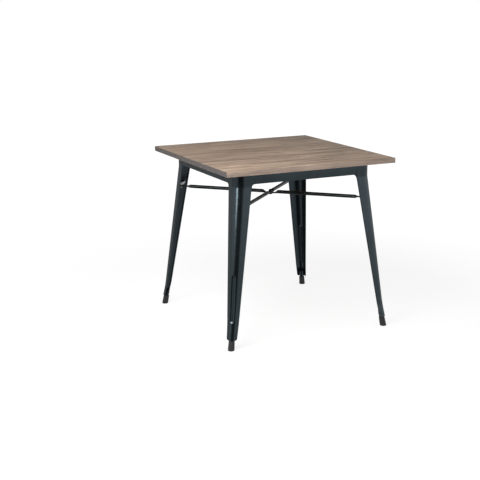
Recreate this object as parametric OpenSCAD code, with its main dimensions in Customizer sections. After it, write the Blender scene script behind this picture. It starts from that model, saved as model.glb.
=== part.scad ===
// Square bistro table: a glued board top on a pressed-steel frame with four splayed
// open-section legs, tied below the frame by two crossed tubes.
// Millimetres, +Z up, the origin on the floor under the centre of the top.

/* [Top] */
// Side of the square top
top_side = 800; // [700:10:900]
// Height of the top's upper face over the floor
table_h = 760; // [740:5:780]
// Thickness of the boards
top_t = 22; // [18:1:28]
// Small chamfer along the top's upper and lower edges
edge_soft = 1.5; // [0.5:0.25:3]

/* [Frame] */
// Half of the frame's outer width
frame_half = 325; // [300:1:340]
// Height of the frame's rails
rail_h = 52; // [45:1:65]
// Thickness of the rail and leg sheet
sheet = 1.5; // [1.2:0.1:2]
// Radius of the web between a rail's lower edge and a leg
rail_fillet = 15; // [8:1:22]
// Width of the rails' top flange
rail_flange = 25; // [18:1:32]
// Width of the rails' bottom hem
rail_hem = 9; // [6:1:14]

/* [Legs] */
// Height at which the leg starts to lean out
bend_z = 676; // [660:1:680]
// Outward lean of a leg along X and along Y, per millimetre of height
lean = 0.092; // [0.07:0.001:0.1]
// Height at which the foot flares out more
flare_z = 100; // [90:1:105]
// Lean of the flared end
flare = 0.15; // [0.12:0.01:0.18]
// Height of the sheet's lower end
leg_end_z = 44; // [40:1:52]
// Width of each leg flange at the frame
flange_top = 73; // [68:1:78]
// Loss of flange width per millimetre of height below the bend
flange_taper = 0.0625; // [0.055:0.0005:0.066]
// Corner radius as a share of the flange width
corner_share = 0.55; // [0.45:0.01:0.6]
// Width of the folded hem on both flange edges
hem_w = 8; // [6:0.5:9]
// Thickness of that hem
hem_t = 3.2; // [2.8:0.1:3.6]

/* [Pressed groove] */
// Lower end of the groove on the leg's corner
groove_low = 118; // [112:1:130]
// Upper end of the groove
groove_high = 313; // [280:1:330]
// Width of the groove
groove_w = 17; // [14:0.5:19]
// Depth of the groove
groove_d = 4; // [2:0.5:5]

/* [Feet] */
// Radius of the ferrule on the floor
ferrule_r_low = 14.25; // [13:0.25:16]
// Radius of the ferrule at its mouth
ferrule_r_high = 12.75; // [12:0.25:14]
// Length of the ferrule along the leg
ferrule_len = 42; // [36:1:46]
// Outer radius of the stub tube in the leg's end
stub_r = 10.5; // [9:0.25:11]
// Wall of the stub tube
stub_wall = 1.5; // [1:0.25:2.5]

/* [Brace] */
// Height of the crossed tubes' axes
brace_z = 580; // [560:1:600]
// Radius of the crossed tubes
brace_r = 8; // [7:0.5:9]
// Thickness of the tubes' flattened stretches
flat_t = 4; // [3:0.5:5]
// Width of the tubes' flattened stretches
flat_w = 22; // [20:1:24]
// Distance of the end bolts from the centre, along the diagonal
brace_bolt_at = 440; // [438:1:442]

/* [Hidden] */
half = top_side / 2;
under_top = table_h - top_t;
rail_low = under_top - rail_h;
// Widths of the boards from the front, on a top 800 wide
BOARDS = [140, 110, 122, 86, 107, 107, 128];
BOARDS_SUM = 800;
CORNERS = [[-1, -1], [1, -1], [1, 1], [-1, 1]];
$fn = 48;

// How far a cutter runs past a face
over = 1;

// Metric M8 hexagon fasteners
bolt_r = 4;
hole_r = 4.4;
hex_af = 13;
head_h = 5.3;
nut_h = 6.5;
washer_r = 8;
washer_t = 1.6;
thread_tip = 3;

// Wood screws that hold the top
screw_r = 2.1;
screw_hole_r = 2.4;
screw_head_r = 4.5;
screw_head_h = 2.2;
screw_bite = 14;
corner_screws = 2 * len(CORNERS);

// Plates in the corners
plate_t = 3;
corner_reach = 110;
leg_plate_reach = 64;
leg_stud_at = [22, 46];
corner_screw_at = [34, 98];
rail_screw_gap = 240;

// Stub tube and its collar in a leg's end, and the thickness of the ferrule's sole
stub_low = 8;
stub_high = 74;
collar_z = 52;
sole = 6;
spot_drop = 30;

// The leg's section: arc steps of the corner and of the groove's ends
ARC_STEPS = 8;
GROOVE_END_STEPS = 3;
groove_soft = 3;

// Bracket inside a leg: an upright web across the open side, with a leaf over the brace's tab
web_h = 15;
web_at = brace_bolt_at - 11.5;
leaf_half = 13;
leaf_back = 21;
weld_gap = 0.1;

// Stretches of a brace along the diagonal
centre_flat = 20;
centre_taper = 16;
end_taper = 18;
end_flat = 32;
tab_chamfer = 5;
BRACE_POINTS = 24;

// Colours
C_WOOD = [0.62, 0.55, 0.48];
C_STEEL = [0.20, 0.23, 0.26];
C_ZINC = [0.62, 0.62, 0.62];
C_RUBBER = [0.10, 0.10, 0.11];

// ---- the leg's geometry as functions of height ----
function corner(z) =
    z >= bend_z ? frame_half
    : z >= flare_z ? frame_half + lean * (bend_z - z)
    : frame_half + lean * (bend_z - flare_z) + flare * (flare_z - z);
function flange(z) = flange_top - flange_taper * max(0, bend_z - z);
function corner_r(z) = corner_share * flange(z);

// Share of the groove's depth at height z and at distance s from the middle of the corner
function groove_half(z) =
    z <= groove_low || z >= groove_high ? 0
    : let (
        r = groove_w / 2,
        end_gap = min(z - groove_low, groove_high - z)
    ) end_gap >= r ? r : sqrt(r * r - (r - end_gap) * (r - end_gap));
function groove_depth(z, s) =
    groove_d * min(1, max(0, (groove_half(z) - abs(s)) / groove_soft));

// One point of the corner's arc, sheet outside (inset 0) or inside (inset = sheet)
function arc_point(z, angle, inset) =
    let (
        r = corner_r(z),
        push = groove_depth(z, (angle - 45) * PI / 180 * r) / sqrt(2),
        c = r - corner(z),
        rr = r - inset
    ) [c - rr * sin(angle) + push, c - rr * cos(angle) + push, z];
function arc_points(z, inset) = [for (i = [0:ARC_STEPS]) arc_point(z, 90 * i / ARC_STEPS, inset)];
function flip(points) = [for (i = [len(points) - 1:-1:0]) points[i]];

// The sheet's closed outline at height z, for the front left leg
function leg_ring(z) =
    let (
        a = -corner(z),
        w = flange(z)
    ) concat(
        [[a + w, a, z], [a + w, a + hem_t, z], [a + w - hem_w, a + hem_t, z], [a + w - hem_w, a + sheet, z]],
        arc_points(z, sheet),
        [[a + sheet, a + w - hem_w, z], [a + hem_t, a + w - hem_w, z], [a + hem_t, a + w, z], [a, a + w, z]],
        flip(arc_points(z, 0))
    );

// Heights of the rings: plain stretches need two, the groove's round ends need more
groove_end_zs = [for (i = [0:GROOVE_END_STEPS]) groove_w / 2 * (1 - cos(90 * i / GROOVE_END_STEPS))];
LEG_ZS = concat(
    [leg_end_z, flare_z],
    [for (d = groove_end_zs) groove_low + d],
    flip([for (d = groove_end_zs) groove_high - d]),
    [bend_z, under_top]
);

// A closed skin over rings of equally many points; cap holds the faces that close the first ring
module skin(rings, cap) {
    n = len(rings[0]);
    last = (len(rings) - 1) * n;
    points = [for (ring = rings) each ring];
    sides = [
        for (start = [0:n:last - n]) for (i = [0:n - 1])
            let (a = start + i, b = start + (i + 1) % n)
                each [[a, a + n, b + n], [a, b + n, b]]
    ];
    far_cap = [for (face = cap) [for (i = flip(face)) last + i]];
    polyhedron(points, concat(sides, cap, far_cap));
}

// Puts a front-left part at the given corner
module at_corner(i) {
    mirror([CORNERS[i][0] > 0 ? 1 : 0, 0, 0])
        mirror([0, CORNERS[i][1] > 0 ? 1 : 0, 0])
            children();
}

// Outline of the space inside the leg's top, cut off along a diagonal at the given reach
module corner_outline(reach) {
    inner = frame_half - sheet;
    r = corner_r(bend_z) - sheet;
    intersection() {
        union() {
            translate([-inner + r, -inner + r]) circle(r);
            translate([-inner + r, -inner]) square([reach, r]);
            translate([-inner, -inner + r]) square([r, reach]);
            translate([-inner + r, -inner + r]) square(reach);
        }
        translate([-inner, -inner]) polygon([[0, 0], [reach, 0], [0, reach]]);
    }
}

// ---- the top ----
function board_w(i) = BOARDS[i] * top_side / BOARDS_SUM;
function board_y(i) = i == 0 ? -half : board_y(i - 1) + board_w(i - 1);
module top_blank() {
    hull() {
        translate([-half + edge_soft, -half + edge_soft, under_top])
            cube([top_side - 2 * edge_soft, top_side - 2 * edge_soft, top_t]);
        translate([-half, -half, under_top + edge_soft])
            cube([top_side, top_side, top_t - 2 * edge_soft]);
    }
}
module screw_holes() {
    for (p = SCREW_SPOTS)
        translate([p[0], p[1], under_top - over]) cylinder(h = over + screw_bite, r = screw_r);
}
module board(i) {
    color(C_WOOD)
        difference() {
            intersection() {
                top_blank();
                translate([-half, board_y(i), under_top])
                    cube([top_side, board_w(i), top_t]);
            }
            screw_holes();
        }
}

// ---- the frame ----
SCREW_SPOTS = concat(
    [for (c = CORNERS) for (k = [0, 1])
        let (a = frame_half - corner_screw_at[k], b = frame_half - corner_screw_at[1 - k])
            [c[0] * a, c[1] * b]],
    [for (s = [-1, 1]) for (d = [-1, 1]) [s * (frame_half - rail_flange / 2), d * rail_screw_gap / 2]],
    [for (s = [-1, 1]) for (d = [-1, 1]) [d * rail_screw_gap / 2, s * (frame_half - rail_flange / 2)]]
);

// The front rail's face: its ends widen downwards in a fillet that meets the leg's edge
module rail_face() {
    reach = frame_half - flange_top;
    low = rail_low - rail_fillet;
    difference() {
        translate([-reach, low]) square([2 * reach, under_top - low]);
        translate([-reach + rail_fillet, low - over])
            square([2 * (reach - rail_fillet), rail_fillet + over]);
        for (s = [-1, 1])
            translate([s * (reach - rail_fillet), low]) circle(rail_fillet);
    }
}
module rail() {
    reach = frame_half - flange_top;
    flange_reach = frame_half - sheet - corner_reach;
    color(C_STEEL)
        difference() {
            union() {
                translate([0, -frame_half + sheet, 0])
                    rotate([90, 0, 0]) linear_extrude(sheet) rail_face();
                translate([-flange_reach, -frame_half, under_top - sheet])
                    cube([2 * flange_reach, rail_flange, sheet]);
                translate([-reach + rail_fillet, -frame_half, rail_low])
                    cube([2 * (reach - rail_fillet), rail_hem, sheet]);
            }
            for (s = [-1, 1])
                translate([s * rail_screw_gap / 2, -frame_half + rail_flange / 2, under_top - sheet - over])
                    cylinder(h = sheet + 2 * over, r = screw_hole_r);
        }
}
module corner_plate() {
    color(C_STEEL)
        difference() {
            translate([0, 0, under_top - plate_t])
                linear_extrude(plate_t)
                    difference() {
                        translate([-frame_half + sheet, -frame_half + sheet]) square(corner_reach);
                        difference() {
                            translate([-frame_half, -frame_half]) square(corner_r(bend_z));
                            translate([-frame_half + corner_r(bend_z), -frame_half + corner_r(bend_z)])
                                circle(corner_r(bend_z) - sheet);
                        }
                        hem_notch();
                        mirror([1, -1]) hem_notch();
                    }
            leg_stud_spots() cylinder(h = 2 * spot_drop, r = bolt_r);
            for (k = [0, 1])
                translate([-frame_half + corner_screw_at[k], -frame_half + corner_screw_at[1 - k], 0])
                    cylinder(h = table_h, r = screw_hole_r);
        }
}
// Room for the leg's hem in a corner plate
module hem_notch() {
    translate([-frame_half + flange_top - hem_w, -frame_half])
        square([hem_w, hem_t]);
}
module leg_stud_spots() {
    for (k = [0, 1])
        translate([-frame_half + leg_stud_at[k], -frame_half + leg_stud_at[1 - k], under_top - spot_drop])
            children();
}
module leg_plate() {
    color(C_STEEL)
        difference() {
            translate([0, 0, under_top - 2 * plate_t])
                linear_extrude(plate_t)
                    difference() {
                        intersection() {
                            corner_outline(2 * leg_plate_reach);
                            translate([-frame_half, -frame_half]) square(leg_plate_reach);
                        }
                        translate([-frame_half + flange_top - hem_w, -frame_half]) square([hem_w, hem_t]);
                    }
            leg_stud_spots() cylinder(h = 2 * spot_drop, r = hole_r);
        }
}

// ---- the legs and feet ----
module leg() {
    // Places in a ring: the inner arc's ends and the outer arc's ends
    in_0 = 4;
    in_1 = in_0 + ARC_STEPS;
    out_1 = in_1 + 5;
    out_0 = out_1 + ARC_STEPS;
    cap = concat(
        [[0, 1, 2, 3], [0, 3, in_0, out_0]],
        [for (k = [0:ARC_STEPS - 1]) [in_0 + k, in_0 + k + 1, out_0 - k - 1, out_0 - k]],
        [[in_1, in_1 + 1, in_1 + 4, out_1], [in_1 + 1, in_1 + 2, in_1 + 3, in_1 + 4]]
    );
    color(C_STEEL) skin([for (z = LEG_ZS) leg_ring(z)], cap);
}
foot_axis_at_end = corner(leg_end_z) - flange(leg_end_z) / 2;
foot_axis_on_floor = foot_axis_at_end + flare * leg_end_z;
foot_tilt = atan(flare * sqrt(2));
module along_foot() {
    translate([-foot_axis_on_floor, -foot_axis_on_floor, 0])
        rotate([0, 0, 45]) rotate([0, foot_tilt, 0]) children();
}
// The stub has a collar plate that fills the leg's end, inside the hems
module foot_stub() {
    collar_side = flange(collar_z) - hem_w - sheet - 2 * weld_gap;
    collar_corner = corner(collar_z + plate_t) - sheet - weld_gap;
    collar_r = corner_r(collar_z) - sheet;
    color(C_STEEL)
        difference() {
            union() {
                along_foot() translate([0, 0, stub_low])
                    cylinder(h = stub_high - stub_low, r = stub_r);
                translate([-collar_corner, -collar_corner, collar_z]) linear_extrude(plate_t)
                    difference() {
                        square(collar_side);
                        difference() {
                            square(collar_r);
                            translate([collar_r, collar_r]) circle(collar_r);
                        }
                    }
            }
            along_foot() translate([0, 0, stub_low - over])
                cylinder(h = stub_high - stub_low + 2 * over, r = stub_r - stub_wall);
        }
}
module ferrule() {
    color(C_RUBBER)
        difference() {
            along_foot() difference() {
                translate([0, 0, -sole])
                    cylinder(h = ferrule_len + sole, r1 = ferrule_r_low, r2 = ferrule_r_high);
                translate([0, 0, stub_low]) cylinder(h = ferrule_len, r = stub_r);
            }
            translate([-top_side, -top_side, -ferrule_len]) cube([top_side, top_side, ferrule_len]);
        }
}

// ---- the brace ----
module along_diagonal(i) {
    rotate([0, 0, atan2(CORNERS[i][1], CORNERS[i][0])]) children();
}
module hex_prism(h) {
    cylinder(h = h, r = hex_af / sqrt(3), $fn = 6);
}
// One ring of a brace: round where flatness is 0, a flat bar of the given width where it is 1
function brace_ring(x, flatness, mid_z, width) = [
    for (i = [0:BRACE_POINTS - 1])
        let (
            a = 360 * (i + 0.5) / BRACE_POINTS,
            flat_y = width / 2 * cos(a) / cos(180 / BRACE_POINTS),
            y = (1 - flatness) * brace_r * cos(a) + flatness * flat_y,
            z = (1 - flatness) * brace_r * sin(a) + flatness * flat_t / 2 * sign(sin(a))
        ) [x, y, mid_z + z]
];
// Half of a brace's rings, from the centre outwards, or inwards on the other side (side = -1)
function brace_side(side, mid_z) =
    let (
        flat_from = brace_bolt_at - end_flat,
        rings = [
            brace_ring(side * centre_flat, 1, mid_z, flat_w),
            brace_ring(side * (centre_flat + centre_taper), 0, brace_z, flat_w),
            brace_ring(side * (flat_from - end_taper), 0, brace_z, flat_w),
            brace_ring(side * flat_from, 1, brace_z, flat_w),
            brace_ring(side * (brace_bolt_at + tab_chamfer), 1, brace_z, flat_w),
            brace_ring(side * (brace_bolt_at + 2 * tab_chamfer), 1, brace_z, flat_w - 2 * tab_chamfer)
        ]
    ) side > 0 ? rings : flip(rings);
module brace(i, centre_z) {
    mid_z = centre_z + flat_t / 2;
    last = BRACE_POINTS - 1;
    cap = [for (k = [0:BRACE_POINTS / 2 - 2]) [k, k + 1, last - 1 - k, last - k]];
    color(C_STEEL)
        along_diagonal(i) difference() {
            skin(concat(brace_side(-1, mid_z), brace_side(1, mid_z)), cap);
            for (x = [-brace_bolt_at, 0, brace_bolt_at])
                translate([x, 0, brace_z - 2 * brace_r]) cylinder(h = 4 * brace_r, r = hole_r);
        }
}
// The bracket is drawn along +X and turned onto a corner's diagonal
module brace_bracket(i) {
    leaf_z = brace_z + flat_t / 2;
    web_half = (corner(leaf_z + web_h) - sheet) * sqrt(2) - web_at - plate_t - weld_gap;
    color(C_ZINC)
        along_diagonal(i) {
            difference() {
                union() {
                    translate([web_at, -leaf_half, leaf_z]) cube([leaf_back, 2 * leaf_half, plate_t]);
                    translate([web_at + plate_t, 0, leaf_z])
                        rotate([0, -90, 0]) linear_extrude(plate_t)
                            polygon([
                                [0, -leaf_half], [0, leaf_half], [web_h / 2, web_half],
                                [web_h, web_half], [web_h, -web_half], [web_h / 2, -web_half]
                            ]);
                }
                translate([brace_bolt_at, 0, leaf_z - over]) cylinder(h = plate_t + 2 * over, r = hole_r);
            }
        }
}

// ---- fasteners ----
module bolt(grip) {
    cylinder(h = grip, r = bolt_r);
    translate([0, 0, -head_h]) hex_prism(head_h);
}
module nut() {
    difference() {
        hex_prism(nut_h);
        translate([0, 0, -over]) cylinder(h = nut_h + 2 * over, r = bolt_r);
    }
}
lower_flat_z = brace_z - brace_r;
upper_flat_z = lower_flat_z + flat_t;
centre_bolt_len = 2 * flat_t + washer_t + nut_h + thread_tip;
module brace_centre_bolt() {
    color(C_STEEL) translate([0, 0, lower_flat_z]) bolt(centre_bolt_len);
}
module brace_centre_washer() {
    color(C_STEEL)
        translate([0, 0, upper_flat_z + flat_t]) difference() {
            cylinder(h = washer_t, r = washer_r);
            translate([0, 0, -over]) cylinder(h = washer_t + 2 * over, r = hole_r);
        }
}
module brace_centre_nut() {
    color(C_STEEL) translate([0, 0, upper_flat_z + flat_t + washer_t]) nut();
}
module at_brace_ends() {
    for (i = [0:3])
        along_diagonal(i) translate([brace_bolt_at, 0, brace_z]) children();
}
module brace_end_bolts() {
    color(C_ZINC)
        at_brace_ends() translate([0, 0, flat_t / 2 + plate_t]) rotate([180, 0, 0])
            bolt(flat_t + plate_t + nut_h + thread_tip);
}
module brace_end_nuts() {
    color(C_ZINC)
        at_brace_ends() translate([0, 0, -flat_t / 2 - nut_h]) nut();
}
stud_len = 2 * plate_t + nut_h + thread_tip;
module leg_studs() {
    color(C_ZINC)
        for (i = [0:3]) at_corner(i) leg_stud_spots()
            translate([0, 0, spot_drop - stud_len]) cylinder(h = stud_len, r = bolt_r);
}
module leg_nuts() {
    color(C_ZINC)
        for (i = [0:3]) at_corner(i) leg_stud_spots()
            translate([0, 0, spot_drop - 2 * plate_t - nut_h]) nut();
}
module top_screws() {
    color(C_ZINC)
        for (n = [0:len(SCREW_SPOTS) - 1])
            let (seat = under_top - (n < corner_screws ? plate_t : sheet))
                translate([SCREW_SPOTS[n][0], SCREW_SPOTS[n][1], seat]) {
                    cylinder(h = under_top - seat + screw_bite, r = screw_r);
                    translate([0, 0, -screw_head_h]) cylinder(h = screw_head_h, r = screw_head_r);
                }
}

board(0);  // top_board_1
board(1);  // top_board_2
board(2);  // top_board_3
board(3);  // top_board_4
board(4);  // top_board_5
board(5);  // top_board_6
board(6);  // top_board_7
rail();  // apron_front
rotate([0, 0, 90]) rail();  // apron_right
rotate([0, 0, 180]) rail();  // apron_back
rotate([0, 0, -90]) rail();  // apron_left
at_corner(0) leg();  // leg_front_left
at_corner(1) leg();  // leg_front_right
at_corner(2) leg();  // leg_back_right
at_corner(3) leg();  // leg_back_left
at_corner(0) leg_plate();  // leg_plate_front_left
at_corner(1) leg_plate();  // leg_plate_front_right
at_corner(2) leg_plate();  // leg_plate_back_right
at_corner(3) leg_plate();  // leg_plate_back_left
at_corner(0) corner_plate();  // corner_plate_front_left
at_corner(1) corner_plate();  // corner_plate_front_right
at_corner(2) corner_plate();  // corner_plate_back_right
at_corner(3) corner_plate();  // corner_plate_back_left
at_corner(0) foot_stub();  // foot_stub_front_left
at_corner(1) foot_stub();  // foot_stub_front_right
at_corner(2) foot_stub();  // foot_stub_back_right
at_corner(3) foot_stub();  // foot_stub_back_left
at_corner(0) ferrule();  // ferrule_front_left
at_corner(1) ferrule();  // ferrule_front_right
at_corner(2) ferrule();  // ferrule_back_right
at_corner(3) ferrule();  // ferrule_back_left
brace_bracket(0);  // brace_bracket_front_left
brace_bracket(1);  // brace_bracket_front_right
brace_bracket(2);  // brace_bracket_back_right
brace_bracket(3);  // brace_bracket_back_left
brace(1, lower_flat_z);  // brace_lower
brace(0, upper_flat_z);  // brace_upper
brace_centre_bolt();
brace_centre_washer();
brace_centre_nut();
brace_end_bolts();
brace_end_nuts();
leg_studs();
leg_nuts();
top_screws();
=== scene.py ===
"""Looks of the square bistro table: its meshes, materials, studio and camera."""

import math

import bmesh
import bpy
from mathutils import Matrix, Vector


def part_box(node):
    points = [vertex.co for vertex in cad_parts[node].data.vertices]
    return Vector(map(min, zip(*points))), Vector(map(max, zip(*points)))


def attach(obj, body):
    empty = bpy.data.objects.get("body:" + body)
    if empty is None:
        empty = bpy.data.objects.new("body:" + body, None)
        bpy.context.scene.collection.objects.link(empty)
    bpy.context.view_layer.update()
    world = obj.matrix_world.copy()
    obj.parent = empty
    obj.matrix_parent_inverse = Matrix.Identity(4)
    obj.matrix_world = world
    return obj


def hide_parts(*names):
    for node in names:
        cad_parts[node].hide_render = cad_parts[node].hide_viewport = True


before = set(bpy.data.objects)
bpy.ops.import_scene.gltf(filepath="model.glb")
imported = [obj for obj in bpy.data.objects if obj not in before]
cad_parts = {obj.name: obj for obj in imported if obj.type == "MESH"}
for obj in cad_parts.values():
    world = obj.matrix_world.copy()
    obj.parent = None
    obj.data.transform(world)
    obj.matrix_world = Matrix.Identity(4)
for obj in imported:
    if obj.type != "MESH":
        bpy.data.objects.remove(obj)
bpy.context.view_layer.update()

MM = 0.001
CORNERS = {"front_left": (-1, -1), "front_right": (1, -1), "back_right": (1, 1), "back_left": (-1, 1)}
SIDES = {"front": 0, "right": 90, "back": 180, "left": 270}

# ---- sizes that the frame gives, in millimetres ----


def box_mm(node):
    """A CAD node's lowest and highest corners in millimetres."""
    low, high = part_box(node)
    return Vector(low) / MM, Vector(high) / MM


TOP_Z = box_mm("top_board_1")[1].z
UNDER_TOP = box_mm("top_board_1")[0].z
TOP_HALF = -box_mm("top_board_1")[0].x
FRAME_HALF = -box_mm("apron_front")[0].y
RAIL_REACH = box_mm("apron_front")[1].x
RAIL_END_Z = box_mm("apron_front")[0].z
RAIL_FLANGE = box_mm("apron_front")[1].y + FRAME_HALF
LEG_END_Z = box_mm("leg_front_left")[0].z
FLANGE_TOP = FRAME_HALF - RAIL_REACH
WEB_TOP_Z = box_mm("brace_bracket_front_left")[1].z
LEAF_Z = box_mm("brace_bracket_front_left")[0].z
FLAT_Z = box_mm("brace_lower")[0].z
PLATE = box_mm("corner_plate_front_left")[1].z - box_mm("corner_plate_front_left")[0].z
WASHER_Z = box_mm("brace_centre_washer")[0].z
WASHER_TOP = box_mm("brace_centre_washer")[1].z

# ---- sizes of the design that its boxes don't show, in millimetres ----

SHEET = 1.5
BEND_Z, LEAN = 676, 0.092
FLARE_Z, FLARE = 100, 0.15
BEND_SOFT, FLARE_SOFT = 2.5, 14
FLANGE_TAPER = 0.0625
CORNER_SHARE = 0.55
HEM_W, HEM_T = 8, 3.2
END_CHAMFER = 3
GROOVE_LOW, GROOVE_HIGH, GROOVE_W, GROOVE_D, GROOVE_WALL = 115, 316, 21, 4, 7
DIMPLE_Z, DIMPLE_AT, DIMPLE_R, DIMPLE_D = 57, 24, 3.4, 0.9
RAIL_FILLET, RAIL_FOLD, RAIL_HEM = 15, 2, 9
EDGE_ROUND, SEAM_ROUND = 1.5, 0.3
BRACE_Z, BRACE_R = 580, 8
FLAT_T, FLAT_W = 4, 22
BRACE_BOLT_AT = 440
CENTRE_FLAT, CENTRE_TAPER = 20, 18
END_FLAT, END_TAPER, TAB_END = 32, 20, 10
STUB_LOW, FERRULE_R_LOW, FERRULE_R_HIGH, FERRULE_LEN, STUB_R = 8, 14.25, 12.75, 42, 10.5
BOLT_R, HEX_AF, HEAD_H, NUT_H, WASHER_R, HOLE_R, THREAD_TIP = 4, 13, 5.3, 6.5, 8, 4.4, 3
SCREW_HEAD_R, SCREW_HEAD_H = 4.5, 2.2
LEG_STUD_AT = (22, 46)
CORNER_SCREW_AT = (34, 98)
RAIL_SCREW_GAP = 240

# ---- mesh helpers ----


def smoothstep(t):
    t = min(1.0, max(0.0, t))
    return t * t * (3 - 2 * t)


def ramp(t, soft):
    """0 below 0 and t above it, with a parabola over the soft stretch between the two lines."""
    if t <= -soft:
        return 0.0
    return t if t >= soft else (t + soft) ** 2 / (4 * soft)


def spread(a, b, steps):
    """steps + 1 even values from a to b."""
    return [a + (b - a) * i / steps for i in range(steps + 1)]


def shade(mesh, sharp_deg=32):
    """Smooth shading with sharp edges where two faces turn by more than the given angle."""
    bm = bmesh.new()
    bm.from_mesh(mesh)
    for face in bm.faces:
        face.smooth = True
    for edge in bm.edges:
        if len(edge.link_faces) == 2:
            edge.smooth = edge.calc_face_angle(0) < math.radians(sharp_deg)
    bm.to_mesh(mesh)
    bm.free()


def add_object(name, mesh, material, nodes):
    """Puts a finished mesh in the scene as a piece that stands for the given CAD nodes."""
    piece = bpy.data.objects.new(name, mesh)
    bpy.context.scene.collection.objects.link(piece)
    mesh.materials.append(material)
    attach(piece, "root")
    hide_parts(*nodes)
    return piece


def to_mesh(name, points, faces, sharp_deg=32):
    """A shaded mesh from points in millimetres."""
    mesh = bpy.data.meshes.new(name)
    mesh.from_pydata([Vector(p) * MM for p in points], [], faces)
    bm = bmesh.new()
    bm.from_mesh(mesh)
    bmesh.ops.recalc_face_normals(bm, faces=bm.faces)
    bm.to_mesh(mesh)
    bm.free()
    shade(mesh, sharp_deg)
    return mesh


def skin(rings):
    """Points and faces of a closed skin over rings of equally many points."""
    n = len(rings[0])
    points = [p for ring in rings for p in ring]
    faces = []
    for j in range(len(rings) - 1):
        for i in range(n):
            a, b = j * n + i, j * n + (i + 1) % n
            faces.append((a, b, b + n, a + n))
    last = (len(rings) - 1) * n
    faces.append(tuple(reversed(range(n))))
    faces.append(tuple(last + i for i in range(n)))
    return points, faces


def ring_tube(rings):
    """Points and faces of rings whose last one joins the first, as round a bore."""
    n = len(rings[0])
    points = [p for ring in rings for p in ring]
    faces = []
    for j in range(len(rings)):
        k = (j + 1) % len(rings)
        for i in range(n):
            m = (i + 1) % n
            faces.append((j * n + i, j * n + m, k * n + m, k * n + i))
    return points, faces


def lathe(profile, steps=48):
    """Points and faces of a profile of (radius, height) turned about Z.

    A profile that starts and ends on the axis is closed by fans there. Any other profile is a closed loop,
    such as a tube's.
    """
    points, faces, rows = [], [], []
    for r, h in profile:
        if r == 0:
            rows.append([len(points)] * steps)
            points.append((0, 0, h))
            continue
        rows.append([len(points) + i for i in range(steps)])
        turns = [2 * math.pi * i / steps for i in range(steps)]
        points += [(r * math.cos(t), r * math.sin(t), h) for t in turns]
    pairs = list(zip(rows, rows[1:]))
    if profile[0][0] and profile[-1][0]:
        pairs.append((rows[-1], rows[0]))
    for low, high in pairs:
        for i in range(steps):
            k = (i + 1) % steps
            corners = dict.fromkeys((low[i], low[k], high[k], high[i]))
            faces.append(tuple(corners))
    return points, faces


def moved(shape, matrix):
    """The points and faces of a shape, moved by a matrix."""
    points, faces = shape
    return [matrix @ Vector(p) for p in points], faces


def joined(shapes):
    """One list of points and faces from several."""
    points, faces = [], []
    for shape_points, shape_faces in shapes:
        faces += [tuple(len(points) + i for i in face) for face in shape_faces]
        points += shape_points
    return points, faces


def arc(centre, radius, start_deg, end_deg, steps):
    """Points on an arc in a plane."""
    turns = [math.radians(a) for a in spread(start_deg, end_deg, steps)]
    return [(centre[0] + radius * math.cos(t), centre[1] + radius * math.sin(t)) for t in turns]


def circle(radius, z, steps):
    """Points of a level ring about Z."""
    turns = [2 * math.pi * i / steps for i in range(steps)]
    return [(radius * math.cos(t), radius * math.sin(t), z) for t in turns]


def on_diagonal(corner):
    """The turn that takes +X onto a corner's diagonal."""
    sx, sy = CORNERS[corner]
    return Matrix.Rotation(math.atan2(sy, sx), 4, "Z")


def to_corner(points, corner):
    """Mirrors points of the front-left corner into another one."""
    sx, sy = CORNERS[corner]
    return [(-sx * x, -sy * y, z) for x, y, z in points]


# ---- materials ----

CURVE_TOP = 4.0


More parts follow.
